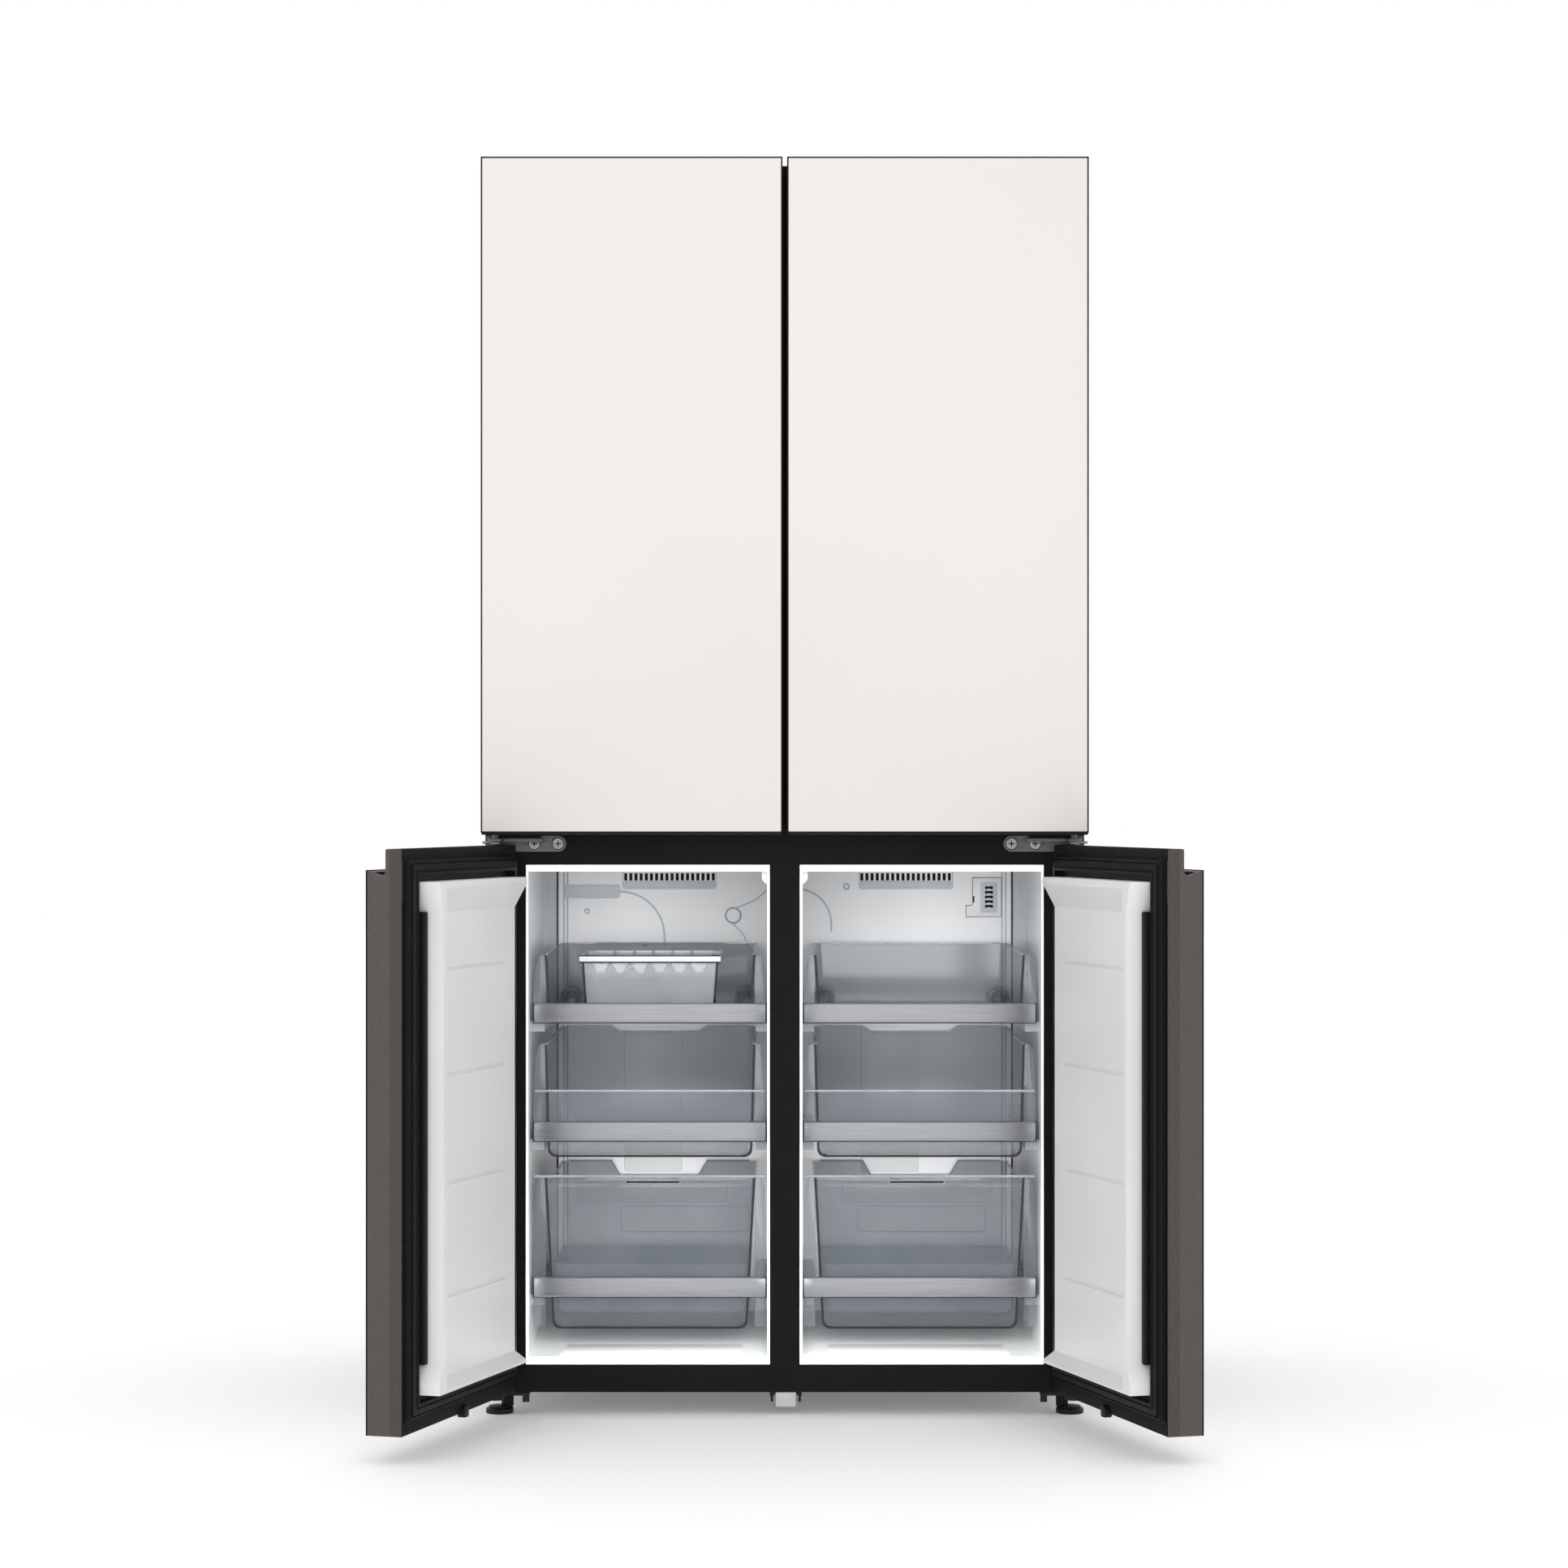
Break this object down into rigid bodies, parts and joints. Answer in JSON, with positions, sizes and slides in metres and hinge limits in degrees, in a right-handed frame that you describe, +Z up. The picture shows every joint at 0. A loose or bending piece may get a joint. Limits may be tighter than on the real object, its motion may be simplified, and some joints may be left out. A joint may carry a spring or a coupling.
{
  "type": "french door refrigerator",
  "caption": "Tall refrigerator with paired glass doors above, paired lower doors standing open on two freezer bays of sliding clear drawers, and levelling feet.",
  "frame": {"origin": "on the floor, under the middle of the whole box as it stands with its lower doors open", "axes": "+Z up, +X to the right when facing the doors, the front faces -Y"},
  "size_m": [1.1734, 1.17, 1.89],
  "materials": {
    "case_paint": "satin",
    "back_panel": "satin",
    "machine_cover": "satin",
    "base_steel": "satin",
    "foam": "matte",
    "liner": "satin",
    "black_frame": "satin",
    "freezer_wall": "satin",
    "aluminium_fins": "satin",
    "compressor_paint": "gloss",
    "hinge_steel": "satin",
    "dark_hinge": "satin",
    "foot_plastic": "matte",
    "screw_zinc": "satin",
    "shelf_glass": "gloss",
    "clear_plastic": "gloss",
    "grey_plastic": "matte",
    "roller_plastic": "matte",
    "fan_plastic": "matte",
    "cream_glass": "gloss",
    "door_liner": "satin",
    "gasket_rubber": "satin",
    "upper_edge": "satin",
    "door_edge": "satin",
    "smoke_plastic": "gloss",
    "bar_metal": "satin",
    "lilac_plastic": "gloss",
    "ice_plastic": "gloss"
  },
  "bodies": {
    "cabinet": {"outer_case": "case_paint", "rear_panel": "back_panel", "machine_cover": "machine_cover", "base_frame": "base_steel", "insulation": "foam", "fridge_liner": "liner", "freezer_liner": "liner", "front_frame": "black_frame", "mid_beam": "black_frame", "lower_mullion": "black_frame", "upper_mullion": "black_frame", "freezer_back_covers": "freezer_wall", "evaporator": "aluminium_fins", "compressor": "compressor_paint", "condenser": "aluminium_fins", "top_hinges": "dark_hinge", "mid_hinges": "hinge_steel", "bottom_hinges": "dark_hinge", "levelling_feet": "foot_plastic", "screws": "screw_zinc", "drawer_rails": "liner", "shelves": "shelf_glass", "crispers": "clear_plastic", "centre_block": "grey_plastic"},
    "rear_rollers": {"rear_rollers": "roller_plastic"},
    "freezer_fan": {"freezer_fan": "fan_plastic"},
    "condenser_fan": {"condenser_fan": "fan_plastic"},
    "upper_left_door": {"upper_left_glass": "cream_glass", "upper_left_frame": "upper_edge", "upper_left_liner": "door_liner", "upper_left_gasket": "gasket_rubber", "upper_left_bins": "clear_plastic"},
    "upper_right_door": {"upper_right_glass": "cream_glass", "upper_right_frame": "upper_edge", "upper_right_liner": "door_liner", "upper_right_gasket": "gasket_rubber", "upper_right_bins": "clear_plastic"},
    "lower_left_door": {"lower_left_glass": "cream_glass", "lower_left_frame": "door_edge", "lower_left_liner": "door_liner", "lower_left_gasket": "gasket_rubber"},
    "lower_right_door": {"lower_right_glass": "cream_glass", "lower_right_frame": "door_edge", "lower_right_liner": "door_liner", "lower_right_gasket": "gasket_rubber"},
    "left_bottom_drawer": {"left_bottom_bin": "smoke_plastic", "left_bottom_bar": "bar_metal", "left_inner_tray": "lilac_plastic"},
    "left_middle_drawer": {"left_middle_bin": "smoke_plastic", "left_middle_bar": "bar_metal"},
    "left_top_drawer": {"left_top_bin": "smoke_plastic", "left_top_bar": "bar_metal", "ice_bin": "ice_plastic"},
    "right_bottom_drawer": {"right_bottom_bin": "smoke_plastic", "right_bottom_bar": "bar_metal", "right_inner_tray": "lilac_plastic"},
    "right_middle_drawer": {"right_middle_bin": "smoke_plastic", "right_middle_bar": "bar_metal"},
    "right_top_drawer": {"right_top_bin": "smoke_plastic", "right_top_bar": "bar_metal"}
  },
  "joints": [
    {"name": "upper_left_door_hinge", "type": "hinge", "parent": "cabinet", "child": "upper_left_door", "pos_m": [-0.434, -0.16547, 0.87], "axis": [0, 0, -1], "range_deg": [0, 115]},
    {"name": "upper_right_door_hinge", "type": "hinge", "parent": "cabinet", "child": "upper_right_door", "pos_m": [0.434, -0.16547, 0.87], "axis": [0, 0, 1], "range_deg": [0, 115]},
    {"name": "lower_left_door_hinge", "type": "hinge", "parent": "cabinet", "child": "lower_left_door", "pos_m": [-0.434, -0.16547, 0.87], "axis": [0, 0, -1], "range_deg": [-106.8, 8.2]},
    {"name": "lower_right_door_hinge", "type": "hinge", "parent": "cabinet", "child": "lower_right_door", "pos_m": [0.434, -0.16547, 0.87], "axis": [0, 0, 1], "range_deg": [-106.8, 8.2]},
    {"name": "left_bottom_drawer_slide", "type": "slide", "parent": "cabinet", "child": "left_bottom_drawer", "axis": [0, -1, 0], "range_m": [0, 0.3]},
    {"name": "left_middle_drawer_slide", "type": "slide", "parent": "cabinet", "child": "left_middle_drawer", "axis": [0, -1, 0], "range_m": [0, 0.3]},
    {"name": "left_top_drawer_slide", "type": "slide", "parent": "cabinet", "child": "left_top_drawer", "axis": [0, -1, 0], "range_m": [0, 0.3]},
    {"name": "right_bottom_drawer_slide", "type": "slide", "parent": "cabinet", "child": "right_bottom_drawer", "axis": [0, -1, 0], "range_m": [0, 0.3]},
    {"name": "right_middle_drawer_slide", "type": "slide", "parent": "cabinet", "child": "right_middle_drawer", "axis": [0, -1, 0], "range_m": [0, 0.3]},
    {"name": "right_top_drawer_slide", "type": "slide", "parent": "cabinet", "child": "right_top_drawer", "axis": [0, -1, 0], "range_m": [0, 0.3]},
    {"name": "rear_rollers_spin", "type": "hinge", "parent": "cabinet", "child": "rear_rollers", "pos_m": [0, 0.50453, 0.024], "axis": [1, 0, 0], "continuous": true},
    {"name": "freezer_fan_spin", "type": "hinge", "parent": "cabinet", "child": "freezer_fan", "pos_m": [-0.2, 0.43453, 0.726], "axis": [0, 1, 0], "continuous": true},
    {"name": "condenser_fan_spin", "type": "hinge", "parent": "cabinet", "child": "condenser_fan", "pos_m": [0.09, 0.51253, 0.15], "axis": [1, 0, 0], "continuous": true}
  ]
}
